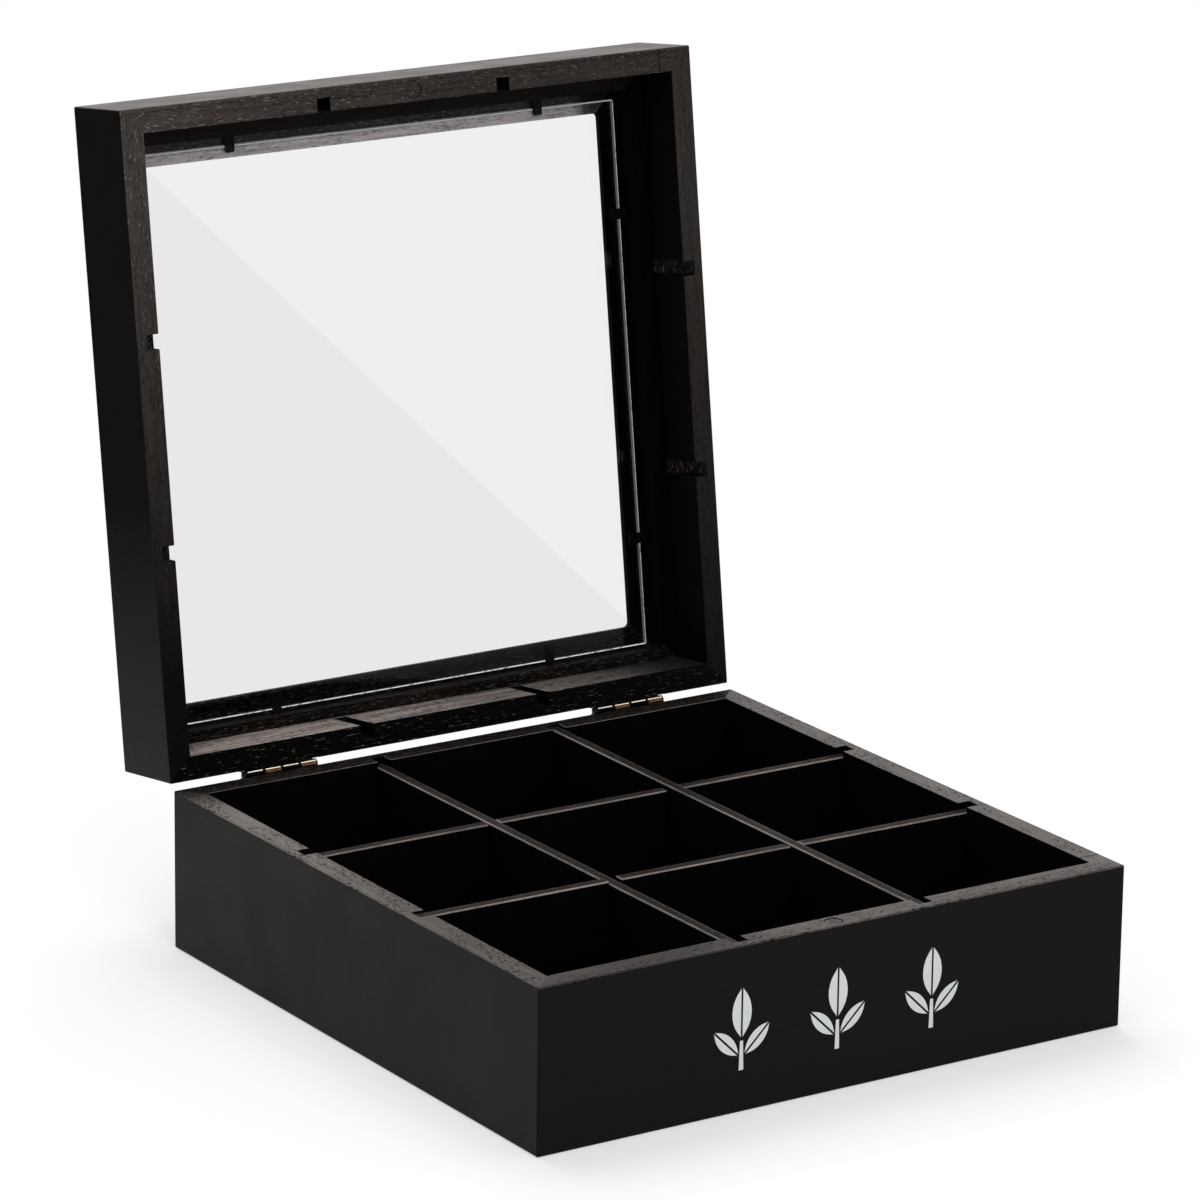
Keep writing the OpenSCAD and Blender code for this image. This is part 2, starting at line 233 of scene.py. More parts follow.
# The grain isn't straight: it wanders this far, over marks this long.
WANDER_MM = 1.1
WANDER_OVER_MM = 5
DASH_RISE = 0.11  # how far the noise climbs from a raised mark's edge to its full height


def along(run, length_mm, across_mm):
    """Mark sizes for a board whose grain runs along this axis."""
    return [length_mm if axis == run else across_mm for axis in "xyz"]


def painted_timber(name, run, opened, tone, level, rough, pores=0.3, dashes=0.0, streaks=0.3,
                   relief=0.12, fades=(), bloom=0.0, dash_mm=2.5, dash_from=0.57):
    """Open-pored hardwood under thin matt black paint. The film is dry, so it reflects little
    face on and more at a glancing angle. Pores stay dark, the raised grain beside them catches
    the light, and the streaks of the wood show where the coat is thin.

    tone, level and rough are the coat's colour, specular level and roughness. pores, dashes and
    streaks are how strongly the pores, the pale raised marks and the streaks show; the raised
    marks' paler colour is partly rubbed paint and partly a painted highlight. relief is how far
    the marks stand up, and dash_mm how long they are, in mm. They start at the level dash_from of
    the noise, so a higher one leaves fewer. Each fade is an axis, the two places on it in mm
    between which the finish falls off, and the parts of its tone and of its pale marks that are
    left; the fades in TIMBER paint shade and reflection onto the boards. bloom is the strength of
    the warm haze at a glancing angle."""
    finish = bpy.context.scene.tea_box_finish
    material, tree = new_material(name)
    place = own_place(tree, opened)
    pore = grain(tree, place, along(run, *PORE_MM), 0.545, 0.605)
    patch = grain(tree, place, along(run, *PORE_PATCH_MM), 0.38, 0.56, to=(0.0, pores),
                  detail=1.0, shift=3.1)
    pore = add(tree, "ShaderNodeMath", {0: pore, 1: patch}, operation="MULTIPLY")
    wave = add(tree, "ShaderNodeTexNoise", {
        "Vector": place, "Scale": 1 / (WANDER_OVER_MM * MM), "Detail": 1.0})
    bent = add(tree, "ShaderNodeVectorMath", {
        0: (wave, "Color"), 1: [WANDER_MM * MM] * 3, 2: place}, operation="MULTIPLY_ADD")
    raised = grain(tree, bent, along(run, dash_mm, DASH_ACROSS_MM), dash_from,
                   dash_from + DASH_RISE, detail=1.5, shift=11.3)
    dash = add(tree, "ShaderNodeMath", {0: raised, 1: dashes}, operation="MULTIPLY")
    streak = grain(tree, bent, along(run, *STREAK_MM), 0.3, 0.7,
                   to=(1 - streaks, 1 + streaks), detail=3.0, shift=7.7)
    parts = add(tree, "ShaderNodeSeparateXYZ", {0: place})
    for axis, start, end, tone_left, dash_left in fades:
        faded = []
        for whole, left in ((streak, tone_left), (dash, dash_left)):
            less = add(tree, "ShaderNodeMapRange", {
                "Value": (parts, axis), "From Min": start * MM, "From Max": end * MM,
                "To Min": 1.0, "To Max": left}, clamp=True)
            faded.append(add(tree, "ShaderNodeMath", {0: whole, 1: less},
                             operation="MULTIPLY"))
        streak, dash = faded
    shade = add(tree, "ShaderNodeCombineXYZ", {0: streak, 1: streak, 2: streak})
    colour_of = add(tree, "ShaderNodeMix", {0: 1.0, 6: tone, 7: shade}, data_type="RGBA",
                    blend_type="MULTIPLY")
    # the raised marks take the paler tone: rubbed paint and a painted highlight
    for shown, over in ((dash, finish.rubbed_and_highlight), (pore, finish.pore)):
        colour_of = add(tree, "ShaderNodeMix", {0: shown, 6: (colour_of, 2), 7: over},
                        data_type="RGBA")
    cloud = grain(tree, place, (20, 20, 20), 0.3, 0.7, to=(rough - 0.04, rough + 0.04),
                  shift=1.3)
    roughness = add(tree, "ShaderNodeMath", {0: pore, 1: 0.35, 2: cloud},
                    operation="MULTIPLY_ADD")
    peel = grain(tree, place, (0.8, 0.8, 0.8), 0.2, 0.8, to=(0.0, 0.15), shift=5.0)
    height = add(tree, "ShaderNodeMath", {0: pore, 1: -1.0, 2: peel}, operation="MULTIPLY_ADD")
    height = add(tree, "ShaderNodeMath", {0: raised, 1: height}, operation="ADD")
    bump = add(tree, "ShaderNodeBump", {
        "Strength": 0.8, "Distance": relief * MM, "Height": height})
    shader = add(tree, "ShaderNodeBsdfPrincipled", {
        "Base Color": (colour_of, 2), "Roughness": roughness, "Normal": bump,
        "Specular IOR Level": level, "IOR": 1.5, "Sheen Weight": bloom,
        "Sheen Roughness": 0.4, "Sheen Tint": finish.bloom})
    add(tree, "ShaderNodeOutputMaterial", {"Surface": shader})
    return material


# Kinds of surface: planed and well painted, sawn, and cut across the grain by hand
SMOOTH = {"pores": 0.08, "streaks": 0.12, "relief": 0.02}
SAWN = {"pores": 1.0, "dashes": 0.45, "relief": 0.15}
CARVED = {"pores": 0.4, "dashes": 1.0, "streaks": 0.25, "relief": 0.6}
PANE_Y_MM = PANE[0].y / MM
# Tone, specular level, roughness and the other settings of the timber's finish on each part.
# A name may end in the side that has a finish of its own.
TIMBER = {
    "face": ("paint", 0.07, 0.42, SMOOTH),
    "inside": ("inside_paint", 0.02, 0.6, {"relief": 0.05}),
    # Painted reflection: the front rim of the base is darker towards its left end
    "rim_front": ("rim", 0.15, 0.36, {**SAWN, "fades": [("X", -25, -45, 0.45, 0.45)]}),
    "rim_right": ("rim", 0.25, 0.36, SAWN),
    # Painted shade: the back rim of the base, under the open lid, is darker than the other rims
    "rim_back": ("back_rim", 0.06, 0.45, {**SAWN, "dashes": 0.4, "relief": 0.3}),
    # Painted reflection and shade: the left rim is paler towards the back, and dark again at the
    # very back, under the lid
    "rim_left": ("rim_painted_reflection", 0.12, 0.4, {
        **SAWN, "fades": [("Y", 90, -70, 0.35, 0.35), ("Y", 94, 113, 0.15, 0.15)]}),
    "divider_top": ("divider_rim", 0.04, 0.45, {**SAWN, "pores": 0.5, "dashes": 0.12}),
    # Painted highlight: the rounded top edges of the dividers and the inner edge of the back rim
    # take the pale tone
    "divider_edge": ("rubbed_and_highlight", 0.3, 0.4, {**SAWN, "pores": 0.3, "streaks": 0.5}),
    "lid_face": ("paint", 0.05, 0.42, SMOOTH),
    "lid_face_front": ("paint", 0.21, 0.38, {**SMOOTH, "bloom": 0.12}),
    # Painted shade: the lid's left side is darker towards its top when the lid is open; its tone
    # is greyer, with almost no gloss
    "lid_face_left": ("lid_paint", 0.005, 0.42, {
        **SMOOTH, "streaks": 0.04, "fades": [("Y", 120, 20, 0.1, 0.1)]}),
    "lid_inside": ("inside_paint", 0.02, 0.55, {"relief": 0.05}),
    # Painted shade: the lid's rim is darker towards the hinges and towards its right, the lower
    # and right parts of the open lid
    "lid_rim": ("lid_rim", 0.05, 0.45, {
        **CARVED, "fades": [("Y", -90, 80, 0.05, 0.05), ("Y", -100, 20, 1.0, 0.25),
                            ("X", -100, 20, 0.6, 0.6)]}),
    # Painted shade: the lid's right rim is darker towards the hinges, and darker overall than the
    # left
    "lid_rim_right": ("lid_rim", 0.05, 0.45, {
        **CARVED, "dashes": 0.3, "relief": 0.35,
        "fades": [("Y", -90, 114, 0.1, 0.1), ("X", -100, 20, 0.6, 0.6)]}),
    # Painted shade: the lid's rim along the hinges, low on the open lid, takes the dark inside
    # paint instead of the rim's tone
    "lid_rim_back": ("inside_paint", 0.03, 0.45, {
        **CARVED, "dashes": 0.9, "dash_mm": 4.0, "dash_from": 0.63}),
    # Painted reflection: the groove floors in the lid's left wall take the pale ledge tone
    "lid_cut_left": ("ledge", 0.1, 0.45, {"pores": 0.4}),
    "lid_cut_right": ("rail", 0.05, 0.5, {"pores": 0.9, "dashes": 0.5}),
    "rail_front": ("rail", 0.05, 0.5, {"dashes": 0.04, "relief": 0.05}),
    "rail_back": ("rail", 0.03, 0.5, {
        "pores": 0.9, "dashes": 0.24, "streaks": 0.9, "relief": 0.1}),
    # the ledge's pale tone is a painted reflection of the pane over it, which stops at X 86 to 91
    # mm; outside the pane's edge the ledge is dark paint
    "ledge": ("ledge", 0.1, 0.45, {
        "pores": 0.5, "dashes": 0.5, "streaks": 0.2,
        "fades": [("X", 86, 91, 0.1, 0.1), ("Y", PANE_Y_MM, PANE_Y_MM - 0.2, 0.04, 1.0)]}),
    # Painted light and shade: the pale inside of the lid's back wall stands partly for light
    # through the pane, and darkens towards the right as painted shade
    "beside_hinges": ("bare", 0.2, 0.45, {
        "pores": 1.0, "dashes": 0.2, "streaks": 0.85, "relief": 0.2,
        "fades": [("X", -60, 95, 0.04, 0.04)]}),
}
LID_PARTS = ("lid", "rail", "ledge", "beside")  # what the names of the lid's parts start with


def timber(part, run, side=""):
    """The finish of one part of the boards whose grain runs along this axis, or the side's own
    where it has one. It is made when it is first asked for."""
    own = "%s_%s" % (part, side)
    part = own if own in TIMBER else part
    name = "painted_timber_%s_%s" % (part, run)
    if name in bpy.data.materials:
        return bpy.data.materials[name]
    tone, level, rough, rest = TIMBER[part]
    tone = getattr(bpy.context.scene.tea_box_finish, tone)
    return painted_timber(name, run, part.startswith(LID_PARTS), tone, level, rough, **rest)


# Painted highlight on the knuckles, as angles round the pin from straight back, over the top: the
# middle of the highlight line, where its bright part and its edge end, and where the brass under
# it starts to show through the painted shade
HIGHLIGHT_MIDDLE = math.radians(125)
HIGHLIGHT_BRIGHT = math.radians(6)
HIGHLIGHT_EDGE = math.radians(11)
BARE_FROM = math.radians(140)
BARE_FULL = math.radians(150)
# and the painted shade in the gaps at the ends of each knuckle, measured from the middle of the
# gap
GAP_SHADE_FULL = 0.45 * MM
GAP_SHADE_FROM = 0.75 * MM
# The part of its tone that tarnished metal and dusty paint keep
TARNISHED = 0.3
DUSTY = 0.6


def rolled_metal(name, tone, rough, tarnish, bare=None):
    """Sheet brass or steel wire as rolled: fine lines along X and a little dark tarnish. On the
    knuckles a painted shade makes the barrel black, with a painted highlight along the top and
    painted shade in the gaps at the knuckles' ends, and bare is how much of the brass shows under
    that highlight."""
    finish = bpy.context.scene.tea_box_finish
    material, tree = new_material(name)
    place = own_place(tree, False)
    line = grain(tree, place, (9, 0.5, 0.5), 0.3, 0.7)
    dull = grain(tree, place, (2.2, 2.2, 2.2), 0.35, 0.7, to=(0.0, tarnish), detail=3.0,
                 shift=2.0)
    tarnished = [c * TARNISHED for c in tone]
    colour_of = add(tree, "ShaderNodeMix", {0: dull, 6: tone, 7: tarnished}, data_type="RGBA")
    if bare is not None:
        parts = add(tree, "ShaderNodeSeparateXYZ", {0: place})
        out = add(tree, "ShaderNodeMath", {0: (parts, "Y"), 1: AXIS.y}, operation="SUBTRACT")
        up = add(tree, "ShaderNodeMath", {0: (parts, "Z"), 1: AXIS.z}, operation="SUBTRACT")
        turn = add(tree, "ShaderNodeMath", {0: up, 1: out}, operation="ARCTAN2")
        under = add(tree, "ShaderNodeMapRange", {
            "Value": turn, "From Min": BARE_FROM, "From Max": BARE_FULL, "To Max": bare},
            clamp=True)
        # painted shade: the barrel is black, except where the brass shows below the highlight
        colour_of = add(tree, "ShaderNodeMix", {
            0: under, 6: finish.brass_painted_shade, 7: (colour_of, 2)}, data_type="RGBA")
        # painted highlight: a bright line along the top of the barrel
        off = add(tree, "ShaderNodeMath", {0: turn, 1: HIGHLIGHT_MIDDLE}, operation="SUBTRACT")
        off = add(tree, "ShaderNodeMath", {0: off}, operation="ABSOLUTE")
        highlit = add(tree, "ShaderNodeMapRange", {
            "Value": off, "From Min": HIGHLIGHT_BRIGHT, "From Max": HIGHLIGHT_EDGE,
            "To Min": 1.0, "To Max": 0.0}, clamp=True)
        colour_of = add(tree, "ShaderNodeMix", {
            0: highlit, 6: (colour_of, 2), 7: finish.brass_painted_highlight}, data_type="RGBA")
        # how far a point is along its knuckle from the knuckle's middle
        away = (parts, "X")
        for operation, by in (("ABSOLUTE", 0.0), ("SUBTRACT", KNUCKLE_X),
                              ("FLOORED_MODULO", KNUCKLE_PITCH),
                              ("SUBTRACT", KNUCKLE_PITCH / 2), ("ABSOLUTE", 0.0)):
            away = add(tree, "ShaderNodeMath", {0: away, 1: by}, operation=operation)
        # painted shade in the gaps at each knuckle's ends
        end = add(tree, "ShaderNodeMapRange", {
            "Value": away, "From Min": KNUCKLE_PITCH / 2 - GAP_SHADE_FROM,
            "From Max": KNUCKLE_PITCH / 2 - GAP_SHADE_FULL}, clamp=True)
        colour_of = add(tree, "ShaderNodeMix", {
            0: end, 6: (colour_of, 2), 7: finish.brass_painted_shade}, data_type="RGBA")
    roughness = add(tree, "ShaderNodeMath", {0: dull, 1: 0.25, 2: rough},
                    operation="MULTIPLY_ADD")
    bump = add(tree, "ShaderNodeBump", {
        "Strength": 0.3, "Distance": 0.05 * MM, "Height": line})
    shader = add(tree, "ShaderNodeBsdfPrincipled", {
        "Base Color": (colour_of, 2), "Metallic": 1.0, "Roughness": roughness, "Normal": bump})
    add(tree, "ShaderNodeOutputMaterial", {"Surface": shader})
    return material


def speckled_paint(name, tone, rough, level, depth):
    """A thin coat of paint or blueing with fine dust and brush texture in it. depth is how
    strongly the specks show."""
    material, tree = new_material(name)
    place = own_place(tree, False)
    speck = grain(tree, place, (0.9, 0.9, 0.9), 0.35, 0.7, to=(0.0, depth), detail=3.0)
    dusty = [c * DUSTY for c in tone]
    colour_of = add(tree, "ShaderNodeMix", {0: speck, 6: tone, 7: dusty}, data_type="RGBA")
    cloud = grain(tree, place, (14, 14, 14), 0.3, 0.7, to=(rough - 0.05, rough + 0.08),
                  shift=4.0)
    bump = add(tree, "ShaderNodeBump", {
        "Strength": 0.4, "Distance": 0.05 * MM, "Height": speck})
    shader = add(tree, "ShaderNodeBsdfPrincipled", {
        "Base Color": (colour_of, 2), "Roughness": cloud, "Normal": bump,
        "Specular IOR Level": level})
    add(tree, "ShaderNodeOutputMaterial", {"Surface": shader})
    return material


DIAGONAL_SOFT = 0.3 * MM  # half the width of the soft edge of the painted reflection along the pane's diagonal
# Float glass has an IOR of about 1.52, with which the pane would mirror the white studio. A
# lower one keeps it clear.
PANE_IOR = 1.18


def clear_glass(name):
    """Float glass, 2 mm: clear, with a painted reflection that makes one half, on one side of the
    diagonal, a shade lighter than the other. It passes lamps and bounce light straight through."""
    finish = bpy.context.scene.tea_box_finish
    material, tree = new_material(name)
    place = own_place(tree, True)
    parts = add(tree, "ShaderNodeSeparateXYZ", {0: place})
    across = add(tree, "ShaderNodeMath", {0: (parts, "X"), 1: (parts, "Y")},
                 operation="SUBTRACT")
    half = add(tree, "ShaderNodeMapRange", {
        "Value": across, "From Min": -DIAGONAL_SOFT, "From Max": DIAGONAL_SOFT}, clamp=True)
    # painted reflection: one half of the pane a shade lighter than the other
    tint = add(tree, "ShaderNodeMix", {0: half, 6: finish.glass_sheen, 7: finish.glass},
               data_type="RGBA")
    glass = add(tree, "ShaderNodeBsdfPrincipled", {
        "Base Color": (tint, 2), "IOR": PANE_IOR, "Transmission Weight": 1.0,
        "Specular IOR Level": 0.1, "Roughness": 0.0})
    clear = add(tree, "ShaderNodeBsdfTransparent", {"Color": (tint, 2)})
    path = add(tree, "ShaderNodeLightPath")
    through = add(tree, "ShaderNodeMath", {
        0: (path, "Is Shadow Ray"), 1: (path, "Is Diffuse Ray")}, operation="MAXIMUM")
    mixed = add(tree, "ShaderNodeMixShader", {0: through, 1: glass, 2: clear})
    add(tree, "ShaderNodeOutputMaterial", {"Surface": mixed})
    return material


# Painted shade on the pane's front edge: how much of the chips' tone it takes, and how far back
# it ends
FRONT_SHADE = 0.7
FRONT_SHADE_FULL = 1 * MM
FRONT_SHADE_END = 2 * MM
# Painted light and shade on the ground edge: pale below this height over the pane's lower face,
# and shaded from the next height up
LIT_EDGE_END = 0.34 * MM
SHADED_EDGE_START = 0.4 * MM
# painted light: the strength of the ground edge's emission
EDGE_GLOW = 0.7


def ground_glass(name):
    """The pane's edges as ground with a coarse belt: white, with small clear chips, and with
    painted shade at the front and up in the rebate. An edge carries light that enters the pane
    elsewhere, and an emission paints that light on as a faint glow."""
    finish = bpy.context.scene.tea_box_finish
    material, tree = new_material(name)
    place = own_place(tree, True)
    chip = grain(tree, place, (1.8, 1.8, 1.8), 0.5, 0.64, to=(0.0, 0.8), shift=2.7)
    parts = add(tree, "ShaderNodeSeparateXYZ", {0: place})
    front = add(tree, "ShaderNodeMapRange", {
        "Value": (parts, "Y"), "From Min": PANE[0].y + FRONT_SHADE_FULL,
        "From Max": PANE[0].y + FRONT_SHADE_END, "To Min": FRONT_SHADE, "To Max": 0.0},
        clamp=True)
    chip = add(tree, "ShaderNodeMath", {0: chip, 1: front}, operation="MAXIMUM")
    side = add(tree, "ShaderNodeMapRange", {
        "Value": (parts, "Z"), "From Min": PANE[0].z + LIT_EDGE_END,
        "From Max": PANE[0].z + SHADED_EDGE_START}, clamp=True)
    chip = add(tree, "ShaderNodeMath", {0: chip, 1: side}, operation="MAXIMUM")
    tone = add(tree, "ShaderNodeMix", {0: chip, 6: finish.glass_edge, 7: finish.glass_chip},
               data_type="RGBA")
    shader = add(tree, "ShaderNodeBsdfPrincipled", {
        "Base Color": (tone, 2), "Roughness": 0.55, "Specular IOR Level": 0.4, "IOR": 1.52,
        "Emission Color": (tone, 2), "Emission Strength": EDGE_GLOW})
    add(tree, "ShaderNodeOutputMaterial", {"Surface": shader})
    return material


# ---------- pieces ----------


SAME_POINT = 0.002 * MM  # a CAD mesh's points nearer than this are one
SAME_FACE = math.radians(0.5)  # and its triangles that turn less than this are one face
SAME_CORNER = 0.02 * MM  # an outline's corners nearer than this are one
SHARP = math.radians(15)  # edges sharper than this are rounded
METAL_SHARP = 0.5  # and on the metal parts, whose curves are faceted, than this, in radians
MITRE_AREA = 100 * MM * MM  # a mitre's face is larger than this
# The part of a face's unit normal along an axis: more than FACING on a face that looks that
# way, nearly all of it on a FLAT one, all of it on a LEVEL one, more than EDGE on a rounded
# edge beside it, and less than UPRIGHT on a face that stands along the axis
FACING = 0.6
FLAT = 0.9
LEVEL = 0.985
EDGE = 0.3
UPRIGHT = 0.1
# Parts of the edge width that a mitre's edges, the outer edges and a divider's lower ones take
MITRE_EASE = 0.12
OUTER_EASE = 0.5
LOWER_EASE = 0.25
OUTER_EDGES = HALF_W - 1.2 * MM  # the outer edges lie outside this
OUTER_FACES = HALF_W - 1.0 * MM  # and the outer faces outside this
RIM_BAND = 0.45 * MM  # a rim's faces lie within this of its height
TOP_BAND = 0.6 * MM  # and the lid's top within this of its own
DIVIDER_TOP = RIM_Z - 4 * MM  # the dividers' top edges lie over this
BACK_RIM_INSIDE = HALF_W - 5 * MM  # the inner edge of the back rim lies in front of here
BESIDE_HINGES = BACK[0].y + 0.2 * MM  # and the inside of the lid's back wall in front of here
LEDGE_UP = 4 * MM  # the ledge under the pane lies higher than this in its rail
# A groove's floor lies further than this in its wall, and its normal has more than this
# sideways and less than this upwards.
GROOVE_DEEP = 0.4 * MM
GROOVE_SIDEWAYS = 0.3
GROOVE_UP = 0.5


def finished(name, mesh, body, slot, node):
    """Makes the mesh a piece at the origin that rides on body and stands for this CAD node."""
    piece = bpy.data.objects.new(name, mesh)
    bpy.context.scene.collection.objects.link(piece)
    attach(piece, body)
    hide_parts(node)


def cad_copy(node, opened=False):
    """A CAD node's mesh with shared points and whole faces, shut if it is the lid's."""
    bm = bmesh.new()
    bm.from_mesh(frame["nodes"][node].data)
    bmesh.ops.remove_doubles(bm, verts=bm.verts, dist=SAME_POINT)
    if opened:
        bm.transform(TO_SHUT)
    bmesh.ops.dissolve_limit(bm, angle_limit=SAME_FACE, verts=bm.verts, edges=bm.edges)
    bmesh.ops.recalc_face_normals(bm, faces=bm.faces)
    return bm


def holder_of(bm, name):
    """An object that holds bm as its mesh while its modifiers work."""
    mesh = bpy.data.meshes.new(name)
    bm.to_mesh(mesh)
    bm.free()
    holder = bpy.data.objects.new(name + "_holder", mesh)
    bpy.context.scene.collection.objects.link(holder)
    return holder


def cut_by(holder, cutter):
    """Takes the cutter's shape off the holder's."""
    cut = holder.modifiers.new("cut", "BOOLEAN")
    cut.object = cutter
    cut.solver = "EXACT"


def evaluated(holder, name):
    """The holder's mesh with its modifiers applied. The holder goes with its own mesh."""
    bpy.context.view_layer.update()
    graph = bpy.context.evaluated_depsgraph_get()
    mesh = bpy.data.meshes.new_from_object(holder.evaluated_get(graph))
    mesh.name = name
    bpy.data.meshes.remove(holder.data)
    return mesh


def rounded(bm, name, width, rule, segments=2, cutter=None):
    """bm as a mesh whose sharp edges are rounded by width times what rule says for each, with
    the cutter's shape taken off first. It never grows past the box that bm fills."""
    bm.normal_update()
    weight = bm.edges.layers.float.new("bevel_weight_edge")
    for edge in bm.edges:
        if len(edge.link_faces) == 2 and edge.calc_face_angle() > SHARP:
            edge[weight] = rule(edge)
    low, high = corners([v.co for v in bm.verts])
    for face in bm.faces:
        face.smooth = segments > 1
    holder = holder_of(bm, name)
    if cutter:
        cut_by(holder, cutter)
    bevel = holder.modifiers.new("edges", "BEVEL")
    bevel.limit_method = "WEIGHT"
    bevel.width = width
    bevel.segments = segments
    bevel.use_clamp_overlap = True
    shading = holder.modifiers.new("shading", "WEIGHTED_NORMAL")
    shading.mode = "FACE_AREA"
    shading.weight = 100
    mesh = evaluated(holder, name)
    for vertex in mesh.vertices:
        for i in range(3):
            vertex.co[i] = min(max(vertex.co[i], low[i]), high[i])
    return mesh


def dress(mesh, rule, opened=False):
    """Gives each face the material that rule names for its middle and direction, on the shut
    box, and opens the lid's pieces."""
    found, places = [], []
    for polygon in mesh.polygons:
        material = rule(polygon.center, polygon.normal)
        if material not in found:
            found.append(material)
        places.append(found.index(material))
    mesh.materials.clear()
    for material in found:
        mesh.materials.append(material)
    mesh.polygons.foreach_set("material_index", places)
    if opened:
        mesh.transform(TO_OPEN)
    mesh.update()
    return mesh


def is_mitre(face):
    """Whether a face closes on the next board at a corner of the box."""
    n = face.normal
    return abs(n.x) > FACING and abs(n.y) > FACING and face.calc_area() > MITRE_AREA


def board_rule(edge):
    """Mitres stay almost sharp, so that they close to a hairline. The outer edges are eased
    already, so they take a smaller rounding than the others."""
    if any(is_mitre(f) for f in edge.link_faces):
        return MITRE_EASE
    x, y = (abs(c) for c in (edge.verts[0].co + edge.verts[1].co).xy / 2)
    return OUTER_EASE if max(x, y) > OUTER_EDGES else 1.0


def outside(middle):
    """Whether a face's middle is on the outside of the box."""
    return max(abs(middle.x), abs(middle.y)) > OUTER_FACES


def prism(bm, outline, y0, y1):
    """A closed prism along Y on an outline in X and Z."""
    clean = []
    for p in outline:
        if not clean or (p - clean[-1]).length > SAME_CORNER:
            clean.append(p)
    if (clean[0] - clean[-1]).length < SAME_CORNER:
        clean.pop()
    front = [bm.verts.new((p.x, y0, p.y)) for p in clean]
    back = [bm.verts.new((p.x, y1, p.y)) for p in clean]
    bm.faces.new(front)
    bm.faces.new(back[::-1])
    for i in range(len(clean)):
        j = (i + 1) % len(clean)
        bm.faces.new((front[j], front[i], back[i], back[j]))


# A sprig, in parts of its height: its stem's outline, and for each leaf its foot, its lean from
# upright in radians, its length and its width. An open midrib parts each leaf.
STEM = ((-0.033, 0.0), (0.033, 0.0), (0.022, 0.36), (-0.022, 0.36))
LEAVES = (
    ((0, 0.40), 0.0, 0.60, 0.27),
    ((-0.045, 0.19), -0.80, 0.47, 0.19),
    ((0.045, 0.19), 0.80, 0.47, 0.19),
)
MIDRIB = 0.35 * MM  # half the midrib's width
LEAF_STEPS = 14
SPRIGS_X = -0.5 * MM  # the middle of the row


def leaf_blade(bm, foot, lean, blade, width, y0, y1):
    """Half-blades of a pointed leaf on each side of an open midrib, as prisms from y0 to y1."""
    radius = (blade ** 2 / 4 + width ** 2 / 4) / width
    reach = math.asin(blade / 2 / radius)
    turn = Matrix.Rotation(-lean, 2)
    for side in (-1, 1):
        outline = []
        for k in range(LEAF_STEPS + 1):
            angle = reach * (2 * k / LEAF_STEPS - 1)
            bulge = radius * (math.cos(angle) - math.cos(reach))
            outline.append(Vector((side * max(bulge, MIDRIB),
                                   blade / 2 + radius * math.sin(angle))))
        outline += [Vector((side * MIDRIB, blade - MIDRIB)), Vector((side * MIDRIB, MIDRIB))]
        prism(bm, [foot + turn @ p for p in outline], y0, y1)


def sprig_cutter():
    """Three stencilled sprigs, each a stem with three leaves, as one cutter for the front."""
    sizes = bpy.context.scene.tea_box_sizes
    tall = sizes.ornament_h
    y0, y1 = FRONT_Y - 1 * MM, FRONT_Y + sizes.stencil_depth
    bm = bmesh.new()
    for step in (-1, 0, 1):
        base = Vector((step * sizes.ornament_pitch + SPRIGS_X, (RIM_Z - tall) / 2))
        for place, lean, blade, width in LEAVES:
            foot = base + Vector([c * tall for c in place])
            leaf_blade(bm, foot, lean, blade * tall, width * tall, y0, y1)
        prism(bm, [base + Vector([c * tall for c in p]) for p in STEM], y0, y1)
    bmesh.ops.recalc_face_normals(bm, faces=bm.faces)
    return holder_of(bm, "sprigs")


def base_wall_rule(side, stencil, depth):
    """Names the finish of each face of a wall of the base. The stencil's faces lie at depth."""
    run = RUNS[side]

    def rule(middle, normal):
        sunk = side == "front" and abs(middle.y - FRONT_Y - depth) < depth / 2
        if sunk and normal.y < -FLAT:
            return stencil
        at_rim = middle.z > RIM_Z - RIM_BAND
        # painted highlight: the inner edge of the back rim takes the pale divider edge finish
        rubbed_and_highlight = side == "back" and middle.y < BACK_RIM_INSIDE
        if rubbed_and_highlight and at_rim and EDGE < normal.z < LEVEL:
            return timber("divider_edge", run)
        if at_rim and normal.z > FACING:
            return timber("rim", run, side)
        return timber("face" if outside(middle) else "inside", run)

    return rule


class TEABOX_OT_base_walls(bpy.types.Operator):
    """Builds the four mitred walls of the base, with the stencilled front"""

    bl_idname = "teabox.base_walls"
    bl_label = "Base walls"

    def execute(self, context):
        sizes = context.scene.tea_box_sizes
        finish = context.scene.tea_box_finish
        stencil = speckled_paint("stencil_paint", finish.stencil, rough=0.55, level=0.3,
                                 depth=0.12)
        for side in RUNS:
            node = "base_%s_wall" % side
            cutter = sprig_cutter() if side == "front" else None
            mesh = rounded(cad_copy(node), node, sizes.board_edge, board_rule, cutter=cutter)
            if cutter:
                bpy.data.meshes.remove(cutter.data)
            dress(mesh, base_wall_rule(side, stencil, sizes.stencil_depth))
            finished(node + "_board", mesh, "base", "painted_timber", node)
        return {"FINISHED"}


def lid_wall_rule(side, low, high):
    """Names the finish of each face of a wall of the lid between these heights."""
    run = RUNS[side]

    def rule(middle, normal):
        if middle.z > high - TOP_BAND and normal.z > EDGE:
            return timber("lid_face", run)
        if middle.z < low + RIM_BAND and normal.z < -FACING:
            return timber("lid_rim", run, side)
        if outside(middle):
            return timber("lid_face", run, side)
        if side == "back" and middle.y < BESIDE_HINGES:
            return timber("beside_hinges", run)
        deep = run == "y" and abs(middle.x) - HALF_W + WALL_T > GROOVE_DEEP
        if deep and abs(normal.x) > GROOVE_SIDEWAYS and normal.z < GROOVE_UP:
            return timber("lid_cut", run, side)
        return timber("lid_inside", run)

    return rule


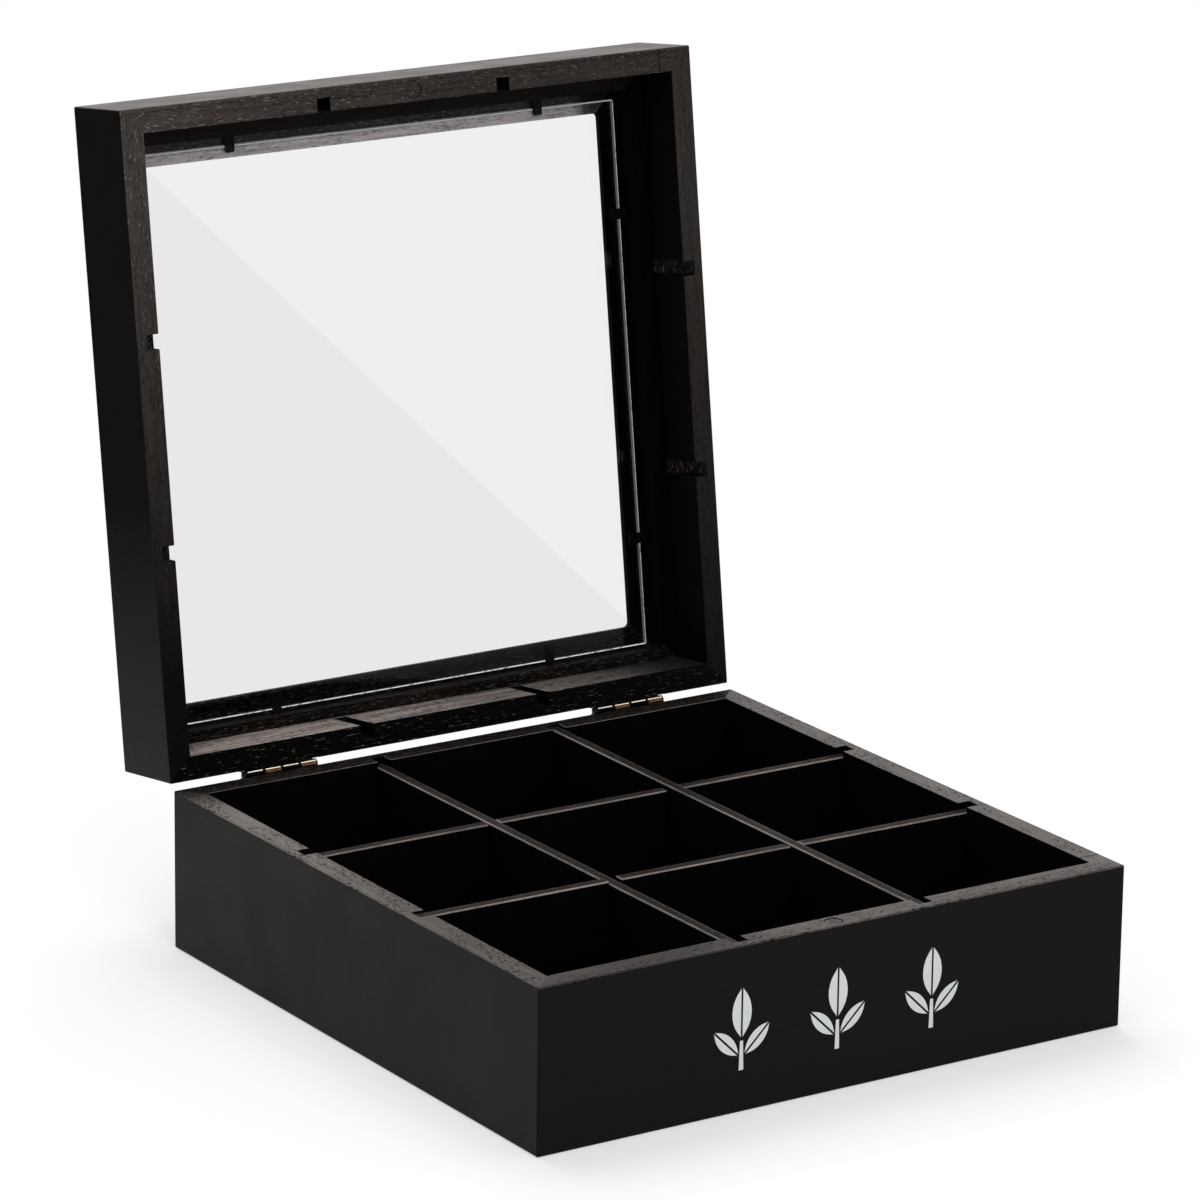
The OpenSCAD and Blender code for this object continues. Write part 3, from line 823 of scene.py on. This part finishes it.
def lid_rail_rule(side, low, high):
    """Names the finish of each face of a rail of the lid between these heights."""
    run = RUNS[side]

    def rule(middle, normal):
        if middle.z > high - TOP_BAND and normal.z > EDGE:
            return timber("lid_face", run)
        if side == "front" and normal.z < -FLAT and middle.z > low + LEDGE_UP:
            return timber("ledge", run)
        return timber("lid_inside" if run == "y" else "rail", run, side)

    return rule


class TEABOX_OT_lid_walls(bpy.types.Operator):
    """Builds the four mitred walls and the four rails of the lid"""

    bl_idname = "teabox.lid_walls"
    bl_label = "Lid walls and rails"

    def execute(self, context):
        sizes = context.scene.tea_box_sizes
        for part, rule_for in (("wall", lid_wall_rule), ("rail", lid_rail_rule)):
            for side in RUNS:
                node = "lid_%s_%s" % (side, part)
                bm = cad_copy(node, True)
                low, high = corners([v.co for v in bm.verts])
                mesh = rounded(bm, node, sizes.board_edge, board_rule)
                dress(mesh, rule_for(side, low.z, high.z), True)
                finished(node + "_board", mesh, "lid", "painted_timber", node)
        return {"FINISHED"}


def divider_edges(edge):
    """A divider's top edges are rounded more than the others."""
    return 1.0 if min(v.co.z for v in edge.verts) > DIVIDER_TOP else LOWER_EASE


def divider_rule(run):
    """Names the finish of each face of a divider that runs along this axis."""

    def rule(middle, normal):
        if middle.z < DIVIDER_TOP or normal.z < UPRIGHT:
            return timber("inside", run)
        return timber("divider_top" if normal.z > LEVEL else "divider_edge", run)

    return rule


class TEABOX_OT_inside(bpy.types.Operator):
    """Builds the bottom panel and the four dividers"""

    bl_idname = "teabox.inside"
    bl_label = "Bottom and dividers"

    def execute(self, context):
        sizes = context.scene.tea_box_sizes
        mesh = rounded(cad_copy("bottom_panel"), "bottom_panel", sizes.board_edge,
                       lambda e: OUTER_EASE)
        dress(mesh, lambda m, n: timber("face" if n.z < -FACING else "inside", "x"))
        finished("bottom_panel_board", mesh, "base", "painted_board", "bottom_panel")
        for node, run in (("divider_long_left", "y"), ("divider_long_right", "y"),
                          ("divider_cross_front", "x"), ("divider_cross_rear", "x")):
            mesh = rounded(cad_copy(node), node, sizes.divider_edge, divider_edges, segments=3)
            dress(mesh, divider_rule(run))
            finished(node + "_board", mesh, "base", "divider_timber", node)
        return {"FINISHED"}


class TEABOX_OT_glass(bpy.types.Operator):
    """Builds the glass pane with its ground edges"""

    bl_idname = "teabox.glass"
    bl_label = "Glass pane"

    def execute(self, context):
        sizes = context.scene.tea_box_sizes
        mesh = rounded(cad_copy("glass_pane", True), "glass_pane", sizes.glass_edge,
                       lambda e: 1.0, segments=1)
        clear, ground = clear_glass("clear_glass"), ground_glass("ground_glass")
        dress(mesh, lambda m, n: clear if abs(n.z) > FLAT else ground, True)
        finished("window_pane", mesh, "lid", "clear_glass", "glass_pane")
        return {"FINISHED"}


def copies_tree():
    """A node tree that sets a copy of one small part on each point, aimed along the point's own
    direction and stretched from the copy's length to the point's reach, with a little random
    turn."""
    tree = bpy.data.node_groups.new("hand_set_copies", "GeometryNodeTree")
    tree.is_modifier = True
    for name, kind, value in (
        ("Geometry", "NodeSocketGeometry", None), ("Copy", "NodeSocketObject", None),
        ("Length", "NodeSocketFloat", 1.0), ("Random turn", "NodeSocketFloat", 0.0),
        ("Seed", "NodeSocketInt", 1), ("Material", "NodeSocketMaterial", None),
    ):
        socket = tree.interface.new_socket(name=name, in_out="INPUT", socket_type=kind)
        if value is not None:
            socket.default_value = value
    tree.interface.new_socket(name="Geometry", in_out="OUTPUT",
                              socket_type="NodeSocketGeometry")
    given = add(tree, "NodeGroupInput")
    copy = add(tree, "GeometryNodeObjectInfo", {"Object": (given, "Copy")})
    aim, side, reach = (
        add(tree, "GeometryNodeInputNamedAttribute", {"Name": name}, data_type=kind)
        for name, kind in (("aim", "FLOAT_VECTOR"), ("side", "FLOAT_VECTOR"), ("reach", "FLOAT")))
    turned = add(tree, "FunctionNodeAlignRotationToVector", {"Vector": aim}, axis="Z")
    turned = add(tree, "FunctionNodeAlignRotationToVector", {
        "Rotation": turned, "Vector": side}, axis="X", pivot_axis="Z")
    low = add(tree, "ShaderNodeMath", {0: (given, "Random turn"), 1: -1.0},
              operation="MULTIPLY")
    spin = add(tree, "FunctionNodeRandomValue", {
        2: low, 3: (given, "Random turn"), "Seed": (given, "Seed")}, data_type="FLOAT")
    spin = add(tree, "FunctionNodeAxisAngleToRotation", {
        "Axis": (0.0, 0.0, 1.0), "Angle": (spin, 1)})
    turned = add(tree, "FunctionNodeRotateRotation", {
        "Rotation": turned, "Rotate By": spin}, rotation_space="LOCAL")
    stretch = add(tree, "ShaderNodeMath", {0: reach, 1: (given, "Length")}, operation="DIVIDE")
    scale = add(tree, "ShaderNodeCombineXYZ", {0: 1.0, 1: 1.0, 2: stretch})
    placed = add(tree, "GeometryNodeInstanceOnPoints", {
        "Points": (given, "Geometry"), "Instance": (copy, "Geometry"), "Rotation": turned,
        "Scale": scale})
    real = add(tree, "GeometryNodeRealizeInstances", {"Geometry": placed})
    coated = add(tree, "GeometryNodeSetMaterial", {
        "Geometry": real, "Material": (given, "Material")})
    add(tree, "NodeGroupOutput", {"Geometry": coated})
    return tree


def separate_parts(node, opened):
    """The box of each loose part of a CAD node, as pairs of corners."""
    bm = cad_copy(node, opened)
    left = set(bm.verts)
    boxes = []
    while left:
        stack = [left.pop()]
        part = list(stack)
        while stack:
            for edge in stack.pop().link_edges:
                for vert in edge.verts:
                    if vert in left:
                        left.remove(vert)
                        stack.append(vert)
                        part.append(vert)
        boxes.append(corners([v.co for v in part]))
    bm.free()
    return sorted(boxes, key=lambda box: tuple(box[0]))


def hand_set(name, copy, length_of_copy, places, material, turn, seed):
    """Copies of one small part on places (point, aim, side, reach), made by the node tree. The
    copy goes."""
    mesh = bpy.data.meshes.new(name + "_places")
    mesh.from_pydata([tuple(p[0]) for p in places], [], [])
    for number, attribute in ((1, "aim"), (2, "side")):
        values = mesh.attributes.new(attribute, "FLOAT_VECTOR", "POINT")
        values.data.foreach_set("vector", [c for p in places for c in p[number]])
    values = mesh.attributes.new("reach", "FLOAT", "POINT")
    values.data.foreach_set("value", [p[3] for p in places])
    holder = bpy.data.objects.new(name + "_holder", mesh)
    bpy.context.scene.collection.objects.link(holder)
    tree = bpy.data.node_groups.get("hand_set_copies") or copies_tree()
    modifier = holder.modifiers.new("copies", "NODES")
    modifier.node_group = tree
    sockets = {item.name: item.identifier for item in tree.interface.items_tree
               if item.in_out == "INPUT"}
    for key, value in (("Copy", copy), ("Length", length_of_copy), ("Random turn", turn),
                       ("Seed", seed), ("Material", material)):
        modifier[sockets[key]] = value
    result = evaluated(holder, name)
    result.materials.clear()
    result.materials.append(material)
    bpy.data.meshes.remove(copy.data)
    return result


SCREW_SIDES = 24
SLOT_W = 0.4 * MM
# Half of a screw's outline from the top of its dome to its point: the part of its radius, and
# the part of its head's height, or of its shank's depth where it is below 0
SCREW_OUTLINE = ((0, 1), (0.45, 0.94), (0.8, 0.66), (1, 0.2), (1, 0), (0.45, 0),
                 (0.45, -0.9), (0, -1))


def screw_copy(name, width, shank, head):
    """A round-head screw, axis along Z with the slot along X: the dome, its slot, the shank."""
    outline = [(width / 2 * x, z * (head if z > 0 else shank)) for x, z in SCREW_OUTLINE]
    bm = bmesh.new()
    ends = [bm.verts.new((0, 0, z)) for x, z in (outline[0], outline[-1])]
    angles = [2 * math.pi * k / SCREW_SIDES for k in range(SCREW_SIDES)]
    rings = [[bm.verts.new((x * math.cos(a), x * math.sin(a), z)) for a in angles]
             for x, z in outline[1:-1]]
    for k in range(SCREW_SIDES):
        j = (k + 1) % SCREW_SIDES
        bm.faces.new((ends[0], rings[0][k], rings[0][j]))
        bm.faces.new((ends[1], rings[-1][j], rings[-1][k]))
        for upper, lower in zip(rings, rings[1:]):
            bm.faces.new((upper[k], lower[k], lower[j], upper[j]))
    bmesh.ops.recalc_face_normals(bm, faces=bm.faces)
    # the slot's cutter is longer than the head is wide, and cuts it half through
    slot = bmesh.new()
    bmesh.ops.create_cube(slot, size=1.0)
    for vert in slot.verts:
        vert.co = (vert.co.x * width * 1.2, vert.co.y * SLOT_W, vert.co.z * head + head)
    cutter = holder_of(slot, name + "_slot")
    holder = holder_of(bm, name)
    cut_by(holder, cutter)
    mesh = evaluated(holder, name)
    bpy.data.meshes.remove(cutter.data)
    return bpy.data.objects.new(name, mesh)


class TEABOX_OT_metalwork(bpy.types.Operator):
    """Builds the hinges, pins, screws and magnets"""

    bl_idname = "teabox.metalwork"
    bl_label = "Metalwork"

    def execute(self, context):
        finish = context.scene.tea_box_finish
        sizes = context.scene.tea_box_sizes
        brass = rolled_metal("darkened_brass", finish.brass, rough=0.22, tarnish=0.5)
        # The base's knuckles: a painted highlight with the brass under it. The lid's are a shaded
        # copy, black but for the painted highlight.
        highlit = rolled_metal("highlit_brass_knuckle", finish.brass, rough=0.22, tarnish=0.3,
                            bare=0.6)
        dark = rolled_metal("shaded_brass_knuckle", finish.brass, rough=0.22, tarnish=0.3,
                            bare=0.0)
        steel = rolled_metal("pin_steel", finish.pin, rough=0.25, tarnish=0.3)

        def leaf_rule(knuckle):
            """Brass, with the knuckles' painted highlight and shade round the pin."""

            def rule(middle, normal):
                near = (Vector(middle.yz) - Vector(AXIS.yz)).length < KNUCKLE_REACH
                return knuckle if near else brass

            return rule

        for node, rule, slot in (
            ("base_leaf_left", leaf_rule(highlit), "hinge_brass"),
            ("base_leaf_right", leaf_rule(highlit), "hinge_brass"),
            ("lid_leaf_left", leaf_rule(dark), "hinge_brass"),
            ("lid_leaf_right", leaf_rule(dark), "hinge_brass"),
            ("hinge_pin_left", lambda m, n: steel, "pin_steel"),
            ("hinge_pin_right", lambda m, n: steel, "pin_steel"),
            ("base_magnet", lambda m, n: timber("rim", "x", "front"), "painted_magnet"),
            ("lid_magnet", lambda m, n: timber("lid_rim", "x"), "painted_magnet"),
        ):
            opened = node.startswith("lid")
            mesh = rounded(cad_copy(node, opened), node, sizes.metal_edge,
                           lambda e: 1.0 if e.calc_face_angle() > METAL_SHARP else 0.0)
            finished(node + "_part", dress(mesh, rule, opened), "lid" if opened else "base",
                     slot, node)

        face = BACK_Y + LEAF_T
        for body in ("base", "lid"):
            node = body + "_hinge_screws"
            move = TO_OPEN if body == "lid" else Matrix.Identity(4)
            turn = move.to_3x3()
            boxes = separate_parts(node, body == "lid")
            low, high = boxes[0]
            copy = screw_copy(node + "_copy", high.x - low.x, face - low.y, high.y - face)
            deep = high.y - low.y
            places = []
            for low, high in boxes:
                middle = (low + high) / 2
                places.append((move @ Vector((middle.x, face, middle.z)),
                               turn @ Vector((0, 1, 0)), turn @ Vector((1, 0, 0)), deep))
            mesh = hand_set(node, copy, deep, places, brass, turn=0.6, seed=7)
            finished(node + "_set", mesh, body, "screw_brass", node)
        return {"FINISHED"}


POINT_L = 7 * MM  # length of the glazing point that is copied
POINT_CLIP = 0.16  # its clipped corners, as a part of its width
POINT_ZONE = 20 * MM  # a glazing point lies within this of its side of the pane


def inward(low, high):
    """The direction from the nearest side of the pane inwards, for the point in this box."""
    if high.x < PANE[0].x + POINT_ZONE:
        return Vector((1, 0, 0))
    if low.x > PANE[1].x - POINT_ZONE:
        return Vector((-1, 0, 0))
    return Vector((0, 1 if low.y + high.y < 0 else -1, 0))


class TEABOX_OT_glazing_points(bpy.types.Operator):
    """Sets the glazing points round the pane"""

    bl_idname = "teabox.glazing_points"
    bl_label = "Glazing points"

    def execute(self, context):
        finish = context.scene.tea_box_finish
        sizes = context.scene.tea_box_sizes
        blued = speckled_paint("blued_steel", finish.point, rough=0.4, level=0.05, depth=0.25)
        boxes = separate_parts("glazing_points", True)
        turn = TO_OPEN.to_3x3()
        places = []
        for low, high in boxes:
            aim = inward(low, high)
            axis = 0 if aim.x else 1
            root = (low + high) / 2
            root[axis] = (low if aim[axis] > 0 else high)[axis]
            root.z = high.z
            places.append((TO_OPEN @ root, turn @ aim, turn @ aim.cross(Vector((0, 0, 1))),
                           high[axis] - low[axis]))
        low, high = boxes[0]
        width = min(high.x - low.x, high.y - low.y)
        half, clip = width / 2, width * POINT_CLIP
        bm = bmesh.new()
        prism(bm, [Vector(p) for p in (
            (-half, 0), (half, 0), (half, POINT_L - clip), (half - clip, POINT_L),
            (-half + clip, POINT_L), (-half, POINT_L - clip))], 0, low.z - high.z)
        bmesh.ops.recalc_face_normals(bm, faces=bm.faces)
        name = "glazing_point_copy"
        copy = bpy.data.objects.new(name, rounded(bm, name, sizes.metal_edge, lambda e: 1.0))
        mesh = hand_set("glazing_points", copy, POINT_L, places, blued, turn=0.0, seed=3)
        finished("glazing_points_set", mesh, "lid", "black_points", "glazing_points")
        return {"FINISHED"}


# ---------- studio ----------


WORLD_LIGHT = 0.4
FLOOR_GLOW = 0.45
FLOOR_HALF = 6.0
FLOOR_DROP = 0.2 * MM  # the floor lies this far under the box, so that no two faces coincide
# The floor keeps the shadow up to here, in metres, and is plain white from there
FLOOR_NEAR = 0.17
FLOOR_FAR = 0.36
# Name, place, what it faces, side in metres, power in watts, and whether gloss and glass show
# it. The front lamp isn't mirrored: its hard square would cut the shut pane in two.
LAMPS = (
    ("overhead_softbox", (0.15, 0.75, 1.45), (0, 0.05, 0.05), 1.1, 9.0, True),
    ("front_softbox", (-0.45, -1.7, 0.9), (0, 0, 0.1), 1.0, 9.5, False),
)
# The camera: its lens, the point that it faces, its distance in metres, and its direction
SENSOR_MM = 36
LENS_MM = 183.384
CAMERA_TARGET = Vector((-4.087, 22.5, 136.689)) * MM
CAMERA_DISTANCE = 2.13186
CAMERA_AZIMUTH = math.radians(-33.499)
CAMERA_ELEVATION = math.radians(16.299)
CAMERA_ROLL = math.radians(0.792)


def seen_rays(tree):
    """1 for the rays that show the background: the camera's, in glass and in gloss."""
    path = add(tree, "ShaderNodeLightPath")
    glossy = add(tree, "ShaderNodeMath", {
        0: (path, "Is Glossy Ray"), 1: (path, "Is Transmission Ray")}, operation="MAXIMUM")
    return add(tree, "ShaderNodeMath", {
        0: (path, "Is Camera Ray"), 1: glossy}, operation="MAXIMUM")


def set_floor(scene):
    """Pale paper that keeps the box's shadow and turns to plain white further out."""
    material, tree = new_material("studio_floor")
    seen = seen_rays(tree)
    place = own_place(tree, False)
    paper = grain(tree, place, (3, 3, 3), 0.3, 0.7, to=(0.0, 0.03))
    tone = add(tree, "ShaderNodeMix", {0: paper, 6: scene.tea_box_finish.floor, 7: WHITE},
               data_type="RGBA")
    diffuse = add(tree, "ShaderNodeBsdfDiffuse", {"Color": (tone, 2)})
    strength = add(tree, "ShaderNodeMath", {0: seen, 1: FLOOR_GLOW}, operation="MULTIPLY")
    glow = add(tree, "ShaderNodeEmission", {"Color": WHITE, "Strength": strength})
    near = add(tree, "ShaderNodeAddShader", {0: diffuse, 1: glow})
    sheet = add(tree, "ShaderNodeEmission", {"Color": WHITE, "Strength": 1.0})
    far = add(tree, "ShaderNodeMixShader", {0: seen, 1: diffuse, 2: sheet})
    away = add(tree, "ShaderNodeVectorMath", {0: place}, operation="LENGTH")
    away = add(tree, "ShaderNodeMapRange", {
        "Value": (away, "Value"), "From Min": FLOOR_NEAR, "From Max": FLOOR_FAR,
    }, interpolation_type="SMOOTHSTEP", clamp=True)
    both = add(tree, "ShaderNodeMixShader", {0: away, 1: near, 2: far})
    add(tree, "ShaderNodeOutputMaterial", {"Surface": both})
    mesh = bpy.data.meshes.new("studio_floor")
    mesh.from_pydata([(x * FLOOR_HALF, y * FLOOR_HALF, 0) for x, y in (
        (-1, -1), (1, -1), (1, 1), (-1, 1))], [], [(0, 1, 2, 3)])
    mesh.materials.append(material)
    floor = bpy.data.objects.new("studio_floor", mesh)
    scene.collection.objects.link(floor)
    floor.location.z = -FLOOR_DROP


def set_world(scene):
    """A plain white world, dimmer as light than as background."""
    world = bpy.data.worlds.new("studio")
    scene.world = world
    world.use_nodes = True
    tree = world.node_tree
    tree.nodes.clear()
    strength = add(tree, "ShaderNodeMath", {
        0: seen_rays(tree), 1: 1 - WORLD_LIGHT, 2: WORLD_LIGHT}, operation="MULTIPLY_ADD")
    sky = add(tree, "ShaderNodeBackground", {"Color": WHITE, "Strength": strength})
    add(tree, "ShaderNodeOutputWorld", {"Surface": sky})


def set_lamps(scene):
    """Two square softboxes, one overhead behind and one in front."""
    for name, place, target, size, power, mirrored in LAMPS:
        lamp = bpy.data.lights.new(name, "AREA")
        lamp.shape = "SQUARE"
        lamp.size = size
        lamp.energy = power
        holder = bpy.data.objects.new(name, lamp)
        scene.collection.objects.link(holder)
        holder.visible_glossy = mirrored
        holder.visible_transmission = mirrored
        holder.location = place
        facing = Vector(target) - Vector(place)
        holder.rotation_euler = facing.to_track_quat("-Z", "Y").to_euler()


def set_camera(scene):
    """A long lens from the front left and a little above."""
    camera = bpy.data.cameras.new("camera")
    camera.sensor_width = SENSOR_MM
    camera.lens = LENS_MM
    camera.clip_end = 50
    holder = bpy.data.objects.new("camera", camera)
    scene.collection.objects.link(holder)
    level = math.cos(CAMERA_ELEVATION)
    back = Vector((math.sin(CAMERA_AZIMUTH) * level, -math.cos(CAMERA_AZIMUTH) * level,
                   math.sin(CAMERA_ELEVATION)))
    right = (-back).cross(Vector((0, 0, 1))).normalized()
    up = right.cross(-back)
    cos, sin = math.cos(CAMERA_ROLL), math.sin(CAMERA_ROLL)
    turn = Matrix((right * cos + up * sin, up * cos - right * sin, back)).transposed()
    place = CAMERA_TARGET + back * CAMERA_DISTANCE
    holder.matrix_world = Matrix.Translation(place) @ turn.to_4x4()
    scene.camera = holder


class TEABOX_OT_stage(bpy.types.Operator):
    """Sets the floor, the world, the lamps and the camera"""

    bl_idname = "teabox.stage"
    bl_label = "Studio"

    def execute(self, context):
        scene = context.scene
        scene.view_settings.view_transform = "Standard"
        set_floor(scene)
        set_world(scene)
        set_lamps(scene)
        set_camera(scene)
        return {"FINISHED"}


class TEABOX_PT_panel(bpy.types.Panel):
    """Lists the box's parts, sizes and colours"""

    bl_idname = "TEABOX_PT_panel"
    bl_label = "Tea Bag Organiser Box"
    bl_space_type = "VIEW_3D"
    bl_region_type = "UI"
    bl_category = "Tea Box"

    def draw(self, context):
        for operator in PARTS:
            self.layout.operator(operator.bl_idname)
        for group in (context.scene.tea_box_sizes, context.scene.tea_box_finish):
            box = self.layout.box()
            for name in group.__annotations__:
                box.prop(group, name)


PARTS = (
    TEABOX_OT_stage,
    TEABOX_OT_base_walls,
    TEABOX_OT_inside,
    TEABOX_OT_lid_walls,
    TEABOX_OT_glass,
    TEABOX_OT_metalwork,
    TEABOX_OT_glazing_points,
)
CLASSES = (TeaBoxFinish, TeaBoxSizes, *PARTS, TEABOX_PT_panel)


def register():
    """Adds the classes, and the sizes and colours on the scene."""
    for cls in CLASSES:
        bpy.utils.register_class(cls)
    bpy.types.Scene.tea_box_finish = PointerProperty(type=TeaBoxFinish)
    bpy.types.Scene.tea_box_sizes = PointerProperty(type=TeaBoxSizes)


def unregister():
    """Takes them away again."""
    del bpy.types.Scene.tea_box_sizes
    del bpy.types.Scene.tea_box_finish
    for cls in reversed(CLASSES):
        bpy.utils.unregister_class(cls)


def main():
    """Builds the whole box."""
    register()
    for operator in PARTS:
        group, name = operator.bl_idname.split(".")
        getattr(getattr(bpy.ops, group), name)()


if __name__ == "__main__":
    main()
